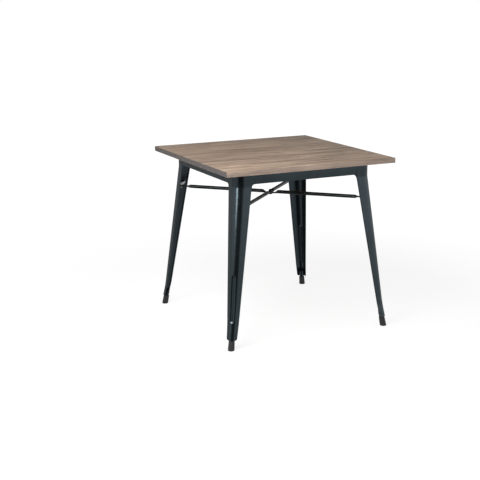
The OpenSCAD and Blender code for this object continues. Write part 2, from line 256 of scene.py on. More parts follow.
class Shader:
    """A material's node tree, with short ways to add and join nodes."""

    def __init__(self, name):
        self.material = bpy.data.materials.new(name)
        self.material.use_nodes = True
        self.tree = self.material.node_tree
        self.principled = self.tree.nodes["Principled BSDF"]
        self.place = self.tree.nodes.new("ShaderNodeTexCoord").outputs["Object"]

    @classmethod
    def of_tree(cls, tree):
        """The same short ways for a tree that isn't a material's."""
        made = cls.__new__(cls)
        made.tree = tree
        return made

    def node(self, kind, inputs=None, **settings):
        made = self.tree.nodes.new(kind)
        for key, value in settings.items():
            setattr(made, key, value)
        for key, value in (inputs or {}).items():
            if isinstance(value, bpy.types.NodeSocket):
                self.tree.links.new(value, made.inputs[key])
            else:
                made.inputs[key].default_value = value
        return made

    def mapped(self, scale, offset, source=None):
        inputs = {"Vector": source or self.place, "Scale": scale, "Location": offset}
        return self.node("ShaderNodeMapping", inputs).outputs[0]

    def noise(self, vector, scale=1.0, detail=4.0, rough=0.55, distortion=0.0):
        inputs = {"Vector": vector, "Scale": scale, "Detail": detail}
        inputs.update({"Roughness": rough, "Distortion": distortion})
        return self.node("ShaderNodeTexNoise", inputs).outputs["Fac"]

    def levels(self, value, low, high, to_low=0.0, to_high=1.0):
        inputs = {"Value": value, "From Min": low, "From Max": high, "To Min": to_low, "To Max": to_high}
        return self.node("ShaderNodeMapRange", inputs).outputs[0]

    def math(self, operation, a, b=0.0):
        return self.node("ShaderNodeMath", {0: a, 1: b}, operation=operation).outputs[0]

    def curve(self, value, points):
        """A value looked up between (place, level) points, whose levels stay under CURVE_TOP."""
        low, high = points[0][0], points[-1][0]
        ramp_node = self.node("ShaderNodeValToRGB", {0: self.levels(value, low, high)})
        elements = ramp_node.color_ramp.elements
        ramp_node.color_ramp.interpolation = "EASE"
        elements.remove(elements[1])
        for i, (place, level) in enumerate(points):
            element = elements[0] if i == 0 else elements.new((place - low) / (high - low))
            element.color = (level / CURVE_TOP,) * 3 + (1,)
        return self.math("MULTIPLY", ramp_node.outputs[0], CURVE_TOP)

    def mix(self, share, a, b):
        made = self.node("ShaderNodeMix", {"Factor": share}, data_type="RGBA")
        for socket, value in (("A", a), ("B", b)):
            target = next(s for s in made.inputs if s.name == socket and s.type == "RGBA")
            if isinstance(value, bpy.types.NodeSocket):
                self.tree.links.new(value, target)
            else:
                target.default_value = (*value, 1)
        return next(s for s in made.outputs if s.type == "RGBA")

    def bump(self, height, distance, strength=1.0, normal=None):
        inputs = {"Height": height, "Distance": distance, "Strength": strength}
        if normal:
            inputs["Normal"] = normal
        return self.node("ShaderNodeBump", inputs).outputs[0]

    def surface(self, **sockets):
        names = {"colour": "Base Color", "rough": "Roughness", "metallic": "Metallic", "normal": "Normal",
                 "specular": "Specular IOR Level"}
        for key, value in sockets.items():
            target = self.principled.inputs[names[key]]
            if isinstance(value, bpy.types.NodeSocket):
                self.tree.links.new(value, target)
            else:
                target.default_value = (*value, 1) if isinstance(value, tuple) else value
        return self.material

    def worn_edges(self, low, high):
        """1 on sharp outer edges and 0 elsewhere, broken up by noise."""
        point = self.node("ShaderNodeNewGeometry").outputs["Pointiness"]
        edge = self.levels(point, low, high)
        patches = self.levels(self.noise(self.place, 60, 3), 0.42, 0.62)
        return self.math("MULTIPLY", edge, patches)


def wood(name, tone, seed):
    """Greyed wood along X, with end grain on the boards' ends, painted shade on their long sides and a dull
    satin finish.

    Its figure is blotchy tone, dark streaks, growth lines that wander and short open pores.
    """
    s = Shader(name)
    shift = (0.37 * seed, 0.83 * seed, 0.21 * seed)
    wander = s.noise(s.mapped((1.1, 5, 5), shift), 1, 2, 0.5)
    sideways = s.node("ShaderNodeCombineXYZ", {"Y": s.levels(wander, 0, 1, -0.016, 0.016)}).outputs[0]
    bent = s.node("ShaderNodeVectorMath", {0: s.place, 1: sideways}, operation="ADD").outputs[0]
    blotches = s.noise(s.mapped((3.2, 16, 16), shift), 1, 4, 0.6, 0.5)
    streaks = s.noise(s.mapped((2.8, 60, 60), shift, source=bent), 1, 4, 0.62, 0.15)
    dashes = s.noise(s.mapped((10, 105, 105), shift, source=bent), 1, 3, 0.6, 0.1)
    wave = {"Vector": s.mapped((0.16, 1, 0.6), shift), "Scale": 17, "Distortion": 9}
    wave.update({"Detail": 3, "Detail Scale": 1.3, "Detail Roughness": 0.55})
    arches = s.node("ShaderNodeTexWave", wave, bands_direction="Y", wave_profile="SAW").outputs["Fac"]
    lines = s.noise(s.mapped((3, 260, 260), shift, source=bent), 1, 4, 0.6, 0.1)
    fine = s.noise(s.mapped((12, 900, 900), shift, source=bent), 1, 3, 0.6)
    pore_noise = s.noise(s.mapped((45, 1300, 1300), shift, source=bent), 1, 2, 0.5)
    pores = s.math("MULTIPLY", s.levels(pore_noise, 0.58, 0.68), s.levels(arches, 0.35, 0.85))

    light, mid, dark = [tuple(c * tone for c in rgb) for rgb in (WOOD_LIGHT, WOOD_MID, WOOD_DARK)]
    colour = s.mix(s.levels(blotches, 0.36, 0.64), light, mid)
    colour = s.mix(s.levels(streaks, 0.49, 0.64, 0, 0.68), colour, dark)
    colour = s.mix(s.levels(dashes, 0.52, 0.66, 0, 0.52), colour, dark)
    colour = s.mix(s.levels(arches, 0.45, 1.0, 0, 0.34), colour, dark)
    colour = s.mix(s.levels(lines, 0.50, 0.66, 0, 0.42), colour, dark)
    colour = s.mix(s.levels(lines, 0.46, 0.30, 0, 0.35), colour, tuple(c * 1.15 for c in light))
    colour = s.mix(s.levels(fine, 0.50, 0.70, 0, 0.32), colour, dark)
    colour = s.mix(s.math("MULTIPLY", pores, 0.75), colour, tuple(c * 0.4 for c in dark))
    facing = s.tree.nodes["Texture Coordinate"].outputs["Normal"]
    to_end, to_edge, _ = s.node("ShaderNodeSeparateXYZ", {0: facing}).outputs
    # The boards' long sides, whose normals run along Y, are mixed towards a darker, greyer colour: painted
    # shade.
    colour = s.mix(s.levels(s.math("ABSOLUTE", to_edge), 0.6, 0.95, 0, 0.6), colour, WOOD_SIDE_SHADE)
    rings = s.noise(s.mapped((1, 240, 80), shift), 1, 4, 0.6, 0.4)
    end_grain = s.mix(s.levels(rings, 0.35, 0.68), END_GRAIN_LIGHT, END_GRAIN_DARK)
    colour = s.mix(s.levels(s.math("ABSOLUTE", to_end), 0.55, 0.9), colour, end_grain)
    rough = s.levels(s.math("ADD", lines, s.math("MULTIPLY", pores, 0.5)), 0.3, 1.0, 0.46, 0.68)
    relief = s.math("SUBTRACT", s.math("MULTIPLY", s.math("ADD", lines, fine), 0.35), pores)
    normal = s.bump(relief, 0.00022, 0.55)
    return s.surface(colour=colour, rough=rough, normal=normal, specular=0.2)


def paint(name, colour, edge_colour, rough, wear):
    """Semi-gloss powder coat: fine orange peel, a faintly cloudy gloss and slightly brighter edges."""
    s = Shader(name)
    clouds = s.noise(s.place, 9, 4)
    peel = s.noise(s.place, 520, 2, 0.5)
    grit = s.noise(s.place, 2600, 2, 0.5)
    dim, bright = tuple(c * 0.88 for c in colour), tuple(c * 1.12 for c in colour)
    shaded = s.mix(s.levels(clouds, 0.3, 0.7), dim, bright)
    shaded = s.mix(s.math("MULTIPLY", s.worn_edges(0.53, 0.62), wear), shaded, edge_colour)
    gloss = s.math("ADD", clouds, s.math("MULTIPLY", grit, 0.4))
    roughness = s.levels(gloss, 0.4, 1.0, rough - 0.03, rough + 0.06)
    normal = s.bump(peel, 0.00003, 0.4, s.bump(grit, 0.000005, 0.3))
    return s.surface(colour=shaded, rough=roughness, normal=normal, metallic=PAINT_METALLIC)


def metal(name, colour, rough):
    """Plated or blackened steel: a fine grain over a mottled plate."""
    s = Shader(name)
    cells = s.node("ShaderNodeTexVoronoi", {"Vector": s.place, "Scale": SPANGLE}).outputs["Color"]
    grey = s.node("ShaderNodeSeparateColor", {0: cells}).outputs[0]
    clouds = s.noise(s.place, 90, 4)
    both = s.math("ADD", s.math("MULTIPLY", grey, 0.35), clouds)
    dim, bright = tuple(c * 0.8 for c in colour), tuple(min(1, c * 1.12) for c in colour)
    shaded = s.mix(s.levels(both, 0.35, 1.0), dim, bright)
    roughness = s.levels(both, 0.35, 1.0, rough - 0.08, rough + 0.1)
    normal = s.bump(s.noise(s.place, 1500, 3), 0.00002, 0.4)
    return s.surface(colour=shaded, rough=roughness, normal=normal, metallic=1.0)


def rubber(name, colour):
    """Matt moulded rubber, a little dusty in patches."""
    s = Shader(name)
    dust = s.levels(s.noise(s.place, 70, 5, 0.65), 0.5, 0.75, 0, 0.5)
    shaded = s.mix(dust, colour, tuple(c * 2.2 for c in colour))
    roughness = s.levels(s.noise(s.place, 140, 3), 0.3, 0.7, 0.5, 0.72)
    normal = s.bump(s.noise(s.place, 1300, 3, 0.6), 0.00005, 0.5)
    return s.surface(colour=shaded, rough=roughness, normal=normal)


WOOD_LIGHT = (0.445, 0.331, 0.246)
WOOD_MID = (0.310, 0.221, 0.157)
WOOD_DARK = (0.072, 0.045, 0.029)
# Painted shade: the darker, greyer colour of the boards' long sides.
WOOD_SIDE_SHADE = (0.215, 0.172, 0.152)
END_GRAIN_LIGHT = (0.110, 0.098, 0.094)
END_GRAIN_DARK = (0.062, 0.055, 0.053)
BOARD_TONES = (1.10, 1.04, 0.94, 1.07, 0.93, 1.06, 0.88)

SPANGLE = 300
PAINT_METALLIC = 0.92
FRAME_PAINT = paint("frame_paint", (0.049, 0.064, 0.073), (0.085, 0.098, 0.106), 0.19, 0.4)
BRACE_PAINT = paint("brace_paint", (0.026, 0.030, 0.033), (0.05, 0.054, 0.058), 0.26, 0.1)
BLACK_STEEL = metal("black_steel", (0.050, 0.052, 0.056), 0.42)
ZINC = metal("zinc", (0.58, 0.585, 0.59), 0.38)
RUBBER = rubber("rubber", (0.016, 0.0165, 0.018))


# ---- the top ----


def board_shape(low, high, front_edge, back_edge):
    """A board along X. Its ends and the top's outer edges are rounded, and its seams hardly are."""

    def corner_points(y_out, z_out, round_r, start_deg, lift, grown):
        y_in = y_out + (round_r if start_deg in (180, 90) else -round_r)
        z_in = z_out + (round_r if start_deg in (180, 270) else -round_r)
        z_in += lift * (1 if start_deg in (180, 270) else -1)
        return arc((y_in, z_in), round_r * grown, start_deg, start_deg + 90, 5)

    rings = []
    turns = spread(0, 90, 5)
    ends = [(low.x, 1, t) for t in turns] + [(high.x, -1, t) for t in reversed(turns)]
    corners = ((low.y, low.z, 180), (high.y, low.z, 270), (high.y, high.z, 0), (low.y, high.z, 90))
    for x_out, inward, turn in ends:
        grown = math.sin(math.radians(turn))
        x = x_out + inward * EDGE_ROUND * (1 - math.cos(math.radians(turn)))
        ring = []
        for y_out, z_out, start in corners:
            outer = front_edge if y_out == low.y else back_edge
            round_r = EDGE_ROUND if outer else SEAM_ROUND
            lift = 0 if outer else (EDGE_ROUND - SEAM_ROUND) * (1 - grown)
            ring += corner_points(y_out, z_out, round_r, start, lift, max(grown, 0.02))
        rings.append([(x, y, z) for y, z in ring])
    return skin(rings)


def make_top():
    for i in range(1, 8):
        node = f"top_board_{i}"
        low, high = box_mm(node)
        mesh = to_mesh(node, *board_shape(low, high, i == 1, i == 7))
        add_object(f"{node}_finished", mesh, wood(f"wood_{i}", BOARD_TONES[i - 1], i), [node])


# ---- the legs ----


def corner_at(z):
    """Distance of a leg's outer faces from the table's middle plane."""
    return FRAME_HALF + LEAN * ramp(BEND_Z - z, BEND_SOFT) + (FLARE - LEAN) * ramp(FLARE_Z - z, FLARE_SOFT)


def flange_at(z):
    """Width of a leg's flanges, with a small chamfer at the sheet's lower end."""
    cut = max(0.0, LEG_END_Z + 2 * END_CHAMFER - z) / 2
    return FLANGE_TOP - FLANGE_TAPER * ramp(BEND_Z - z, BEND_SOFT) - cut


def corner_r_at(z):
    return CORNER_SHARE * (FLANGE_TOP - FLANGE_TAPER * ramp(BEND_Z - z, BEND_SOFT))


def groove_at(z, s):
    """Depth of the pressed groove at height z and at distance s from the middle of the leg's corner."""
    r = GROOVE_W / 2
    along = max(GROOVE_LOW + r - z, z - GROOVE_HIGH + r, 0)
    return GROOVE_D * smoothstep((r - math.hypot(s, along)) / GROOVE_WALL)


def dimple_at(z, at):
    """Depth of the weld dimple near a flange's lower end."""
    away = math.hypot(z - DIMPLE_Z, at - DIMPLE_AT) / DIMPLE_R
    return DIMPLE_D * (1 - away * away) ** 2 if away < 1 else 0.0


LEG_ARC_STEPS = 44
FLAT_STEPS = 9
HEM_STEPS = 8


def leg_section(z):
    """The sheet's closed outline at height z for the front-left leg."""
    a, w, r = -corner_at(z), flange_at(z), corner_r_at(z)

    def flange_side(inset):
        """From the hem inwards to the arc, at a depth of inset."""
        first = w - HEM_T / 2 if inset == 0 else w - HEM_W - 0.4
        return [(u, inset + dimple_at(z, u)) for u in spread(first, r + 0.01, FLAT_STEPS)[:-1]]

    half_hem = HEM_T / 2
    fold = [(w - half_hem + half_hem * math.sin(t), half_hem - half_hem * math.cos(t))
            for t in spread(math.pi, 0, HEM_STEPS)]
    back = w - HEM_W
    lip = [(back, SHEET + 0.05), (back, HEM_T - 0.4), (back + 0.15, HEM_T - 0.12), (back + 0.5, HEM_T)]
    hem = lip + fold[:-1]

    def corner_arc(inset):
        points = []
        for angle in spread(0, 90, LEG_ARC_STEPS):
            t = math.radians(angle)
            push = groove_at(z, (t - math.pi / 4) * r) / math.sqrt(2)
            rr = r - inset
            points.append((a + r - rr * math.sin(t) + push, a + r - rr * math.cos(t) + push, z))
        return points

    def front(points):
        return [(a + u, a + d, z) for u, d in points]

    def left(points):
        return [(a + d, a + u, z) for u, d in points]

    outside = front(flange_side(0)) + corner_arc(0) + left(flange_side(0))[::-1]
    inside = left(flange_side(SHEET)) + corner_arc(SHEET)[::-1] + front(flange_side(SHEET))[::-1]
    return outside + left(hem)[::-1] + inside + front(hem)


def leg_heights():
    """Heights of a leg's rings: close together at the ends of the groove, the bends and the dimple."""
    r = GROOVE_W / 2
    stretches = [
        (LEG_END_Z, LEG_END_Z + 2 * END_CHAMFER, 3), (LEG_END_Z + 2 * END_CHAMFER, DIMPLE_Z - DIMPLE_R, 2),
        (DIMPLE_Z - DIMPLE_R, DIMPLE_Z + DIMPLE_R, 8), (DIMPLE_Z + DIMPLE_R, FLARE_Z - FLARE_SOFT, 3),
        (FLARE_Z - FLARE_SOFT, FLARE_Z + FLARE_SOFT, 8), (FLARE_Z + FLARE_SOFT, GROOVE_LOW, 1),
        (GROOVE_LOW, GROOVE_LOW + r, 14), (GROOVE_LOW + r, GROOVE_HIGH - r, 12),
        (GROOVE_HIGH - r, GROOVE_HIGH, 14), (GROOVE_HIGH, BEND_Z - BEND_SOFT, 14),
        (BEND_Z - BEND_SOFT, BEND_Z + BEND_SOFT, 8), (BEND_Z + BEND_SOFT, UNDER_TOP, 4),
    ]
    heights = [LEG_END_Z]
    for low, high, steps in stretches:
        heights += spread(low, high, steps)[1:]
    return heights


def make_legs():
    points, faces = skin([leg_section(z) for z in leg_heights()])
    for corner in CORNERS:
        node = f"leg_{corner}"
        mesh = to_mesh(node, to_corner(points, corner), faces, 40)
        add_object(f"{node}_pressed", mesh, FRAME_PAINT, [node])


# ---- the frame's rails ----


def rail_section(x, edge_z, normal, fold, hem):
    """A rail's closed outline at a place along its lower edge. normal points from the edge into the face."""

    def low(n, depth):
        return (x + n * normal[0], depth - FRAME_HALF, edge_z + n * normal[1])

    face_x = x + fold * normal[0]

    def high(drop, depth):
        return (face_x, depth - FRAME_HALF, UNDER_TOP - drop)

    inner = max(fold, SHEET + 0.1)
    fold_out = [(fold - fold * math.cos(t), fold - fold * math.sin(t)) for t in spread(math.pi / 2, 0, 6)]
    fold_in = [(inner - (inner - SHEET) * math.cos(t), inner - (inner - SHEET) * math.sin(t))
               for t in spread(0, math.pi / 2, 6)]
    top_out = [(RAIL_FOLD - RAIL_FOLD * math.sin(t), RAIL_FOLD - RAIL_FOLD * math.cos(t))
               for t in spread(0, math.pi / 2, 6)]
    small = RAIL_FOLD - SHEET
    top_in = [(RAIL_FOLD - small * math.cos(t), RAIL_FOLD - small * math.sin(t))
              for t in spread(math.pi / 2, 0, 6)]
    tip = SHEET / 4
    loop = [low(tip, hem), low(0, hem - tip)]
    loop += [low(n, depth) for depth, n in fold_out]
    loop += [high(drop, depth) for drop, depth in top_out]
    loop += [high(0, RAIL_FLANGE - tip), high(tip, RAIL_FLANGE), high(SHEET - tip, RAIL_FLANGE)]
    loop += [high(SHEET, RAIL_FLANGE - tip)]
    loop += [high(drop, depth) for depth, drop in top_in]
    loop += [low(n, depth) for depth, n in fold_in]
    loop += [low(SHEET, hem - tip), low(SHEET - tip, hem)]
    return loop


def make_rails():
    centre_x, centre_z = RAIL_REACH - RAIL_FILLET, RAIL_END_Z
    rings = []
    for side in (-1, 1):
        part = []
        for angle in spread(0, 90, 16):
            t = math.radians(angle)
            normal = (side * math.cos(t), math.sin(t))
            free = RAIL_FILLET / max(math.cos(t), 1e-6) - RAIL_FILLET
            fold = max(0.12, min(RAIL_FOLD, free))
            hem = HEM_T + (RAIL_HEM - HEM_T) * smoothstep(angle / 90)
            edge = (side * centre_x + RAIL_FILLET * normal[0], centre_z + RAIL_FILLET * normal[1])
            part.append(rail_section(*edge, normal, fold, hem))
        rings += part if side < 0 else part[::-1]
    points, faces = skin(rings)
    for side, turn in SIDES.items():
        node = f"apron_{side}"
        turned = moved((points, faces), Matrix.Rotation(math.radians(turn), 4, "Z"))
        mesh = to_mesh(node, *turned, 40)
        add_object(f"{node}_rail", mesh, FRAME_PAINT, [node])


# ---- plates and stubs whose CAD shape is right, with their edges broken ----


def refined(node, suffix, material, width=0.4):
    """A copy of a CAD node with flat faces merged and its sharp edges beveled."""
    mesh = bpy.data.meshes.new(node)
    bm = bmesh.new()
    bm.from_mesh(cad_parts[node].data)
    bmesh.ops.remove_doubles(bm, verts=bm.verts, dist=1e-6)
    bmesh.ops.dissolve_limit(bm, angle_limit=math.radians(1), verts=bm.verts, edges=bm.edges)
    sharp = [e for e in bm.edges if len(e.link_faces) == 2 and e.calc_face_angle(0) > math.radians(40)]
    bmesh.ops.bevel(bm, geom=sharp, offset=width * MM, segments=2, profile=0.5, affect="EDGES",
                    clamp_overlap=True)
    bm.to_mesh(mesh)
    bm.free()
    shade(mesh, 50)
    return add_object(f"{node}_{suffix}", mesh, material, [node])


def make_plates():
    for corner in CORNERS:
        refined(f"corner_plate_{corner}", "welded", FRAME_PAINT)
        refined(f"leg_plate_{corner}", "welded", FRAME_PAINT)
        refined(f"foot_stub_{corner}", "welded", FRAME_PAINT, 0.3)


# ---- the feet ----


def make_ferrules():
    """A ferrule's rings lie flat on the floor and turn square to the leg's end as they rise."""
    end = corner_at(LEG_END_Z) - (FLANGE_TOP - FLANGE_TAPER * (BEND_Z - LEG_END_Z)) / 2
    on_floor = end + FLARE * LEG_END_Z
    axis = Vector((FLARE, FLARE, 1)).normalized()
    base = Vector((-on_floor, -on_floor, 0))
    slope = (FERRULE_R_LOW - FERRULE_R_HIGH) / FERRULE_LEN
    toe = 2.2
    profile = [(FERRULE_R_LOW - 3.2, 0.0)]
    profile += [(FERRULE_R_LOW - toe + toe * math.sin(t), toe - toe * math.cos(t))
                for t in spread(0, math.pi / 2, 7)]
    profile += [(FERRULE_R_LOW - slope * h, h) for h in (7, 7.6)]
    profile += [(FERRULE_R_LOW - slope * h - 0.55, h) for h in (8.0, 8.8)]
    profile += [(FERRULE_R_LOW - slope * h, h) for h in (9.2, 9.8, 20, 30, FERRULE_LEN - 4.4)]
    lip = 1.3
    profile += [(FERRULE_R_HIGH - lip + lip * math.cos(t), FERRULE_LEN - lip + lip * math.sin(t))
                for t in spread(0, math.pi / 2, 6)]
    profile += [(STUB_R + 0.35, FERRULE_LEN), (STUB_R + 0.05, FERRULE_LEN - 0.4), (STUB_R + 0.05, STUB_LOW)]
    steps = 56
    rings = []
    for r, h in profile:
        tilt = smoothstep(h / 16)
        up = Vector((0, 0, 1)).lerp(axis, tilt).normalized()
        u = Vector((1, 0, 0)) - up * up.x
        u.normalize()
        v = up.cross(u)
        centre = base + axis * (h / axis.z)
        turns = [2 * math.pi * i / steps for i in range(steps)]
        rings.append([tuple(centre + u * r * math.cos(t) + v * r * math.sin(t)) for t in turns])
    points, faces = skin(rings)
    for corner in CORNERS:
        node = f"ferrule_{corner}"
        mesh = to_mesh(node, to_corner(points, corner), faces, 60)
        add_object(f"{node}_moulded", mesh, RUBBER, [node])


# ---- the brace ----


def brace_ring(x, flatness, centre_z, width):
    """A section of a brace: round where flatness is 0, and a flat bar with round sides where it is 1."""
    steps, side_r = 40, FLAT_T / 2
    end_share = 0.35
    points = []
    for i in range(steps):
        t = 2 * math.pi * (i + 0.5) / steps
        round_y, round_z = BRACE_R * math.cos(t), BRACE_R * math.sin(t)
        share = (i + 0.5) / steps * 4
        quarter, within = int(share) % 4, share - int(share)
        along = within if quarter in (0, 2) else 1 - within
        reach = width / 2 - side_r
        if along < end_share:
            bend = along / end_share * math.pi / 2
            y, z = reach + side_r * math.cos(bend), side_r * math.sin(bend)
        else:
            y, z = reach * (1 - (along - end_share) / (1 - end_share)), side_r
        y *= 1 if quarter in (0, 3) else -1
        z *= 1 if quarter in (0, 1) else -1
        points.append((x, round_y + (y - round_y) * flatness, centre_z + round_z + (z - round_z) * flatness))
    return points


def brace_rings(mid_z):
    """Rings from the centre outwards along +X."""
    flat_from = BRACE_BOLT_AT - END_FLAT
    rings = [(x, 1.0, mid_z, FLAT_W) for x in spread(0, CENTRE_FLAT - 2, 3)]
    for share in spread(0, 1, 12)[1:]:
        soft = smoothstep(share)
        x = CENTRE_FLAT - 2 + (CENTRE_TAPER + 2) * share
        rings.append((x, 1 - soft, mid_z + (BRACE_Z - mid_z) * soft, FLAT_W))
    round_from, round_to = CENTRE_FLAT + CENTRE_TAPER, flat_from - END_TAPER
    rings += [(x, 0.0, BRACE_Z, FLAT_W) for x in spread(round_from, round_to, 10)[1:]]
    for share in spread(0, 1, 12)[1:]:
        rings.append((round_to + END_TAPER * share, smoothstep(share), BRACE_Z, FLAT_W))
    rings += [(x, 1.0, BRACE_Z, FLAT_W) for x in spread(flat_from, BRACE_BOLT_AT, 4)[1:]]
    for t in spread(0, math.pi / 2, 8)[1:]:
        width = FLAT_W - 2 * 5.5 * (1 - math.cos(t))
        rings.append((BRACE_BOLT_AT + (TAB_END - 0.3) * math.sin(t), 1.0, BRACE_Z, width))
    return rings


def drilled(mesh_object, places, radius):
    """Cuts round holes along Z through a piece, with the cutters removed afterwards."""
    reach = 40
    drill = lathe([(0, -reach), (radius, -reach), (radius, reach), (0, reach)], 40)
    points, faces = joined([moved(drill, Matrix.Translation(p)) for p in places])
    cutter = bpy.data.objects.new("cutter", to_mesh("cutter", points, faces))
    bpy.context.scene.collection.objects.link(cutter)
    cut = mesh_object.modifiers.new("holes", "BOOLEAN")
    cut.operation, cut.solver, cut.object = "DIFFERENCE", "EXACT", cutter
    graph = bpy.context.evaluated_depsgraph_get()
    mesh = bpy.data.meshes.new_from_object(mesh_object.evaluated_get(graph))
    mesh_object.modifiers.clear()
    mesh_object.data = mesh
    bpy.data.objects.remove(cutter)
    shade(mesh, 45)


def make_brace():
    tubes = (("brace_lower", "front_right", FLAT_Z), ("brace_upper", "front_left", FLAT_Z + FLAT_T))
    for node, corner, flat_z in tubes:
        half = brace_rings(flat_z + FLAT_T / 2)
        whole = [(-x, *rest) for x, *rest in half[:0:-1]] + half
        rings = [brace_ring(*ring) for ring in whole]
        turn = on_diagonal(corner)
        mesh = to_mesh(node, *moved(skin(rings), turn), 45)
        piece = add_object(f"{node}_tube", mesh, BRACE_PAINT, [node])
        drilled(piece, [turn @ Vector((x, 0, BRACE_Z)) for x in (-BRACE_BOLT_AT, 0, BRACE_BOLT_AT)], HOLE_R)


def make_brackets():
    """A strip bent up from a leaf over the brace's tab to an upright web that spans the leg."""
    web_at, leaf_back, leaf_half = BRACE_BOLT_AT - 11.5, 21, 13
    height = WEB_TOP_Z - LEAF_Z
    web_half = (corner_at(WEB_TOP_Z) - SHEET) * math.sqrt(2) - web_at - PLATE - 0.1
    bend = PLATE + 1.5
    stations = []
    for t in spread(0, math.pi / 2, 6):
        width = leaf_half - 3 * (1 - math.sin(t))
        stations.append((web_at + leaf_back - 1.2 * (1 - math.cos(t)), 0.0, 1.0, 0.0, width))
    stations += [(x, 0.0, 1.0, 0.0, leaf_half) for x in spread(web_at + leaf_back - 2, web_at + bend, 3)[1:]]
    for t in spread(0, math.pi / 2, 8)[1:]:
        x, z = web_at + bend - bend * math.sin(t), bend - bend * math.cos(t)
        stations.append((x, z, math.cos(t), math.sin(t), leaf_half))
    for h in spread(bend, height - 1.2, 8)[1:]:
        share = smoothstep((h - bend) / (height / 2 - bend + 1.5))
        stations.append((web_at, h, 0.0, 1.0, leaf_half + (web_half - leaf_half) * share))
    stations.append((web_at, height, 0.0, 1.0, web_half - 1.2))
    rings = []
    soft = 0.35
    for x, z, up, inward, width in stations:
        # "up" and "inward" turn the strip's thickness from +Z on the leaf to +X on the web
        def at(depth, y):
            return (x + depth * inward, y, LEAF_Z + z + depth * up)
        one_side = [at(0, soft - width), at(0, width - soft), at(soft, width), at(PLATE - soft, width)]
        upper = [at(PLATE, width - soft), at(PLATE, soft - width)]
        rings.append(one_side + upper + [at(PLATE - soft, -width), at(soft, -width)])
    shape = skin(rings)
    for corner in CORNERS:
        node = f"brace_bracket_{corner}"
        turn = on_diagonal(corner)
        mesh = to_mesh(node, *moved(shape, turn), 40)
        piece = add_object(f"{node}_bent", mesh, ZINC, [node])
        drilled(piece, [turn @ Vector((BRACE_BOLT_AT, 0, LEAF_Z))], HOLE_R)


# ---- fasteners, each drawn along +Z with its bearing face at 0 ----


THREAD_PITCH, THREAD_DEPTH = 1.25, 0.6


def thread(length):
    """A shank with a helical thread and a chamfered tip, from 0 up to length."""
    steps, rows_per_pitch = 24, 6
    rows = max(4, int(length / THREAD_PITCH * rows_per_pitch))
    rings = [circle(BOLT_R, 0, steps)]
    for row in range(rows + 1):
        z = length * row / rows
        fade = min(1.0, (length - z) / 1.2)
        ring = []
        for i in range(steps):
            turn = i / steps
            phase = (z / THREAD_PITCH - turn) % 1.0
            ridge = 1 - abs(2 * phase - 1)
            r = BOLT_R - THREAD_DEPTH * (1 - ridge) - 0.7 * (1 - fade)
            ring.append((r * math.cos(2 * math.pi * turn), r * math.sin(2 * math.pi * turn), z))
        rings.append(ring)
    return skin(rings)


def hexagon(height, bore=0.0, both=False):
    """A hexagon whose corners are cut by a 30 degree cone at its top, and at its foot too if both is set."""
    steps = 72
    turns = [2 * math.pi * i / steps for i in range(steps)]

    def hex_r(t):
        return HEX_AF / 2 / math.cos((t + math.pi / 6) % (math.pi / 3) - math.pi / 6)

    def cone_ring(z_end, inward):
        points = []
        for t in turns:
            r = hex_r(t)
            drop = (r - HEX_AF / 2) * math.tan(math.radians(30)) + 0.15
            points.append((r * math.cos(t), r * math.sin(t), z_end - inward * drop))
        return points

    face_r, bevel = HEX_AF / 2 * 0.94, 0.5
    low = [[(hex_r(t) * math.cos(t), hex_r(t) * math.sin(t), 0) for t in turns]]
    if both:
        low = [circle(face_r, 0, steps), cone_ring(0, -1)]
    rings = low + [cone_ring(height, 1), circle(face_r, height, steps)]
    if not bore:
        return skin(rings + [circle(face_r * 0.5, height, steps)])
    mouth = [circle(bore, bevel, steps), circle(bore + bevel, 0, steps)]
    top = [circle(bore + bevel, height, steps), circle(bore, height - bevel, steps)]
    return ring_tube(mouth + rings + top)


def bolt(grip):
    """A hexagon bolt with its head under 0 and its thread up to the given length."""
    head = moved(hexagon(HEAD_H), Matrix.Rotation(math.pi, 4, "X"))
    return joined([head, thread(grip)])


def place_group(name, node, shape, places, material, sharp_deg=35):
    """One piece with a copy of the shape at each place."""
    points, faces = joined([moved(shape, place) for place in places])
    mesh = to_mesh(name, points, faces, sharp_deg)
    return add_object(name, mesh, material, [node])


def washer_shape(height):
    soft = 0.3
    low = [(HOLE_R, soft), (HOLE_R + soft, 0), (WASHER_R - soft, 0), (WASHER_R, soft)]
    high = [(WASHER_R, height - soft), (WASHER_R - soft, height), (HOLE_R + soft, height)]
    return lathe(low + high + [(HOLE_R, height - soft)])


